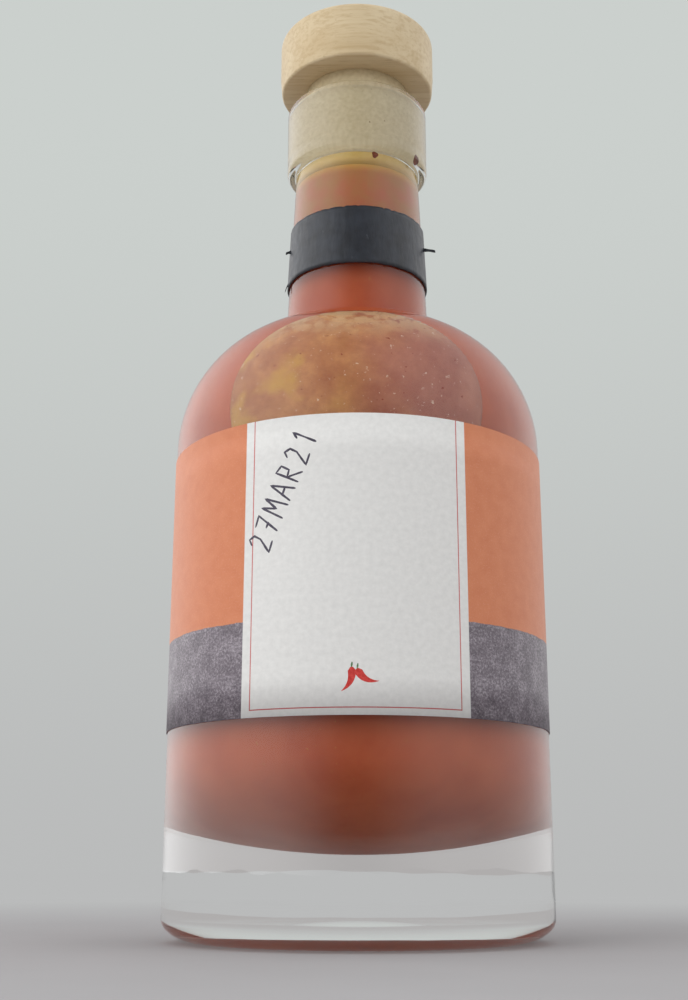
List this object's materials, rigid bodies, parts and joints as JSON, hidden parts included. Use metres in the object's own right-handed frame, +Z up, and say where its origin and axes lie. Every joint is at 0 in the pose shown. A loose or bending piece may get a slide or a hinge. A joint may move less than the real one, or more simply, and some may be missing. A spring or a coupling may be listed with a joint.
{
  "type": "hot sauce bottle",
  "caption": "Round clear-glass bottle of hot sauce with a heavy base, a wood-topped stopper, a torn neck band and a wrap-round paper label.",
  "frame": {"origin": "centre of the foot, on the plane that the bottle stands on", "axes": "+Z up the bottle's axis, -Y out of the middle of the label"},
  "size_m": [0.0604, 0.0602, 0.1563],
  "materials": {
    "clear_glass": "clear, glossy",
    "chilli_sauce": "thick orange-red sauce behind glass",
    "amber_oil": "amber oil behind glass",
    "cream_shank": "fine-grained, matte",
    "pale_wood": "turned, waxed",
    "black_band": "satin, torn edges",
    "printed_paper": "satin printed paper"
  },
  "bodies": {
    "root": {"glass_bottle": "clear_glass", "sauce": "chilli_sauce", "oil_layer": "amber_oil", "stopper_shank": "cream_shank", "stopper_head": "pale_wood", "neck_band": "black_band", "label": "printed_paper"}
  },
  "joints": []
}
